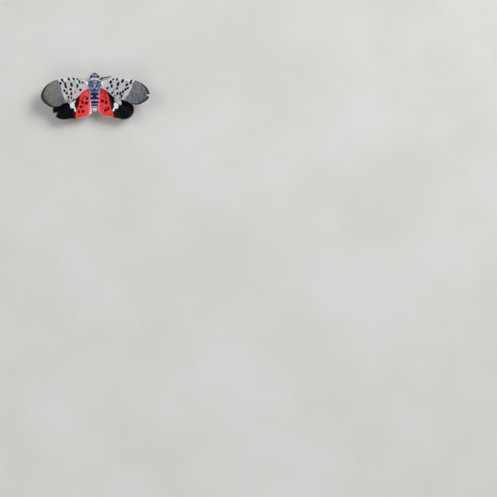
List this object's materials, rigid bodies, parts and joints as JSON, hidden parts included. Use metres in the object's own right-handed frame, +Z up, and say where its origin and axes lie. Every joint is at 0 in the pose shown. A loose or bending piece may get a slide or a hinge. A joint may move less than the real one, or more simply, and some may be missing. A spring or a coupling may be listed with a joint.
{
  "type": "spotted lanternfly",
  "caption": "Still, life-size adult planthopper standing on its legs, with spotted forewings and red and black hindwings spread flat.",
  "frame": {"origin": "on the floor, under the middle of the outline", "axes": "+X to the animal's left, across the wings; +Y to its tail; +Z up"},
  "size_m": [0.0482, 0.0212, 0.0076],
  "materials": {
    "body_grey": "waxy grey cuticle",
    "thorax_blue": "blue-grey cuticle, dull",
    "abdomen_dark": "dark plates with pale rear edges",
    "wax_white": "powdery white wax",
    "leg_black": "dark cuticle, faint gloss",
    "eye_black": "glossy, finely faceted",
    "antenna_orange": "grainy bulb with a dark bristle",
    "forewing_grey": "leathery membrane, black spots, netted tip",
    "hindwing_red": "membrane: red with black spots, white band, black outside"
  },
  "bodies": {
    "root": {"head": "body_grey", "prothorax": "body_grey", "thorax": "thorax_blue", "abdomen": "abdomen_dark", "abdomen_tip": "wax_white", "beak": "leg_black", "eye_left": "eye_black", "eye_right": "eye_black", "antenna_left": "antenna_orange", "antenna_right": "antenna_orange", "forewing_left": "forewing_grey", "forewing_right": "forewing_grey", "hindwing_left": "hindwing_red", "hindwing_right": "hindwing_red", "foreleg_left": "leg_black", "foreleg_right": "leg_black", "midleg_left": "leg_black", "midleg_right": "leg_black", "hindleg_left": "leg_black", "hindleg_right": "leg_black"}
  },
  "joints": []
}
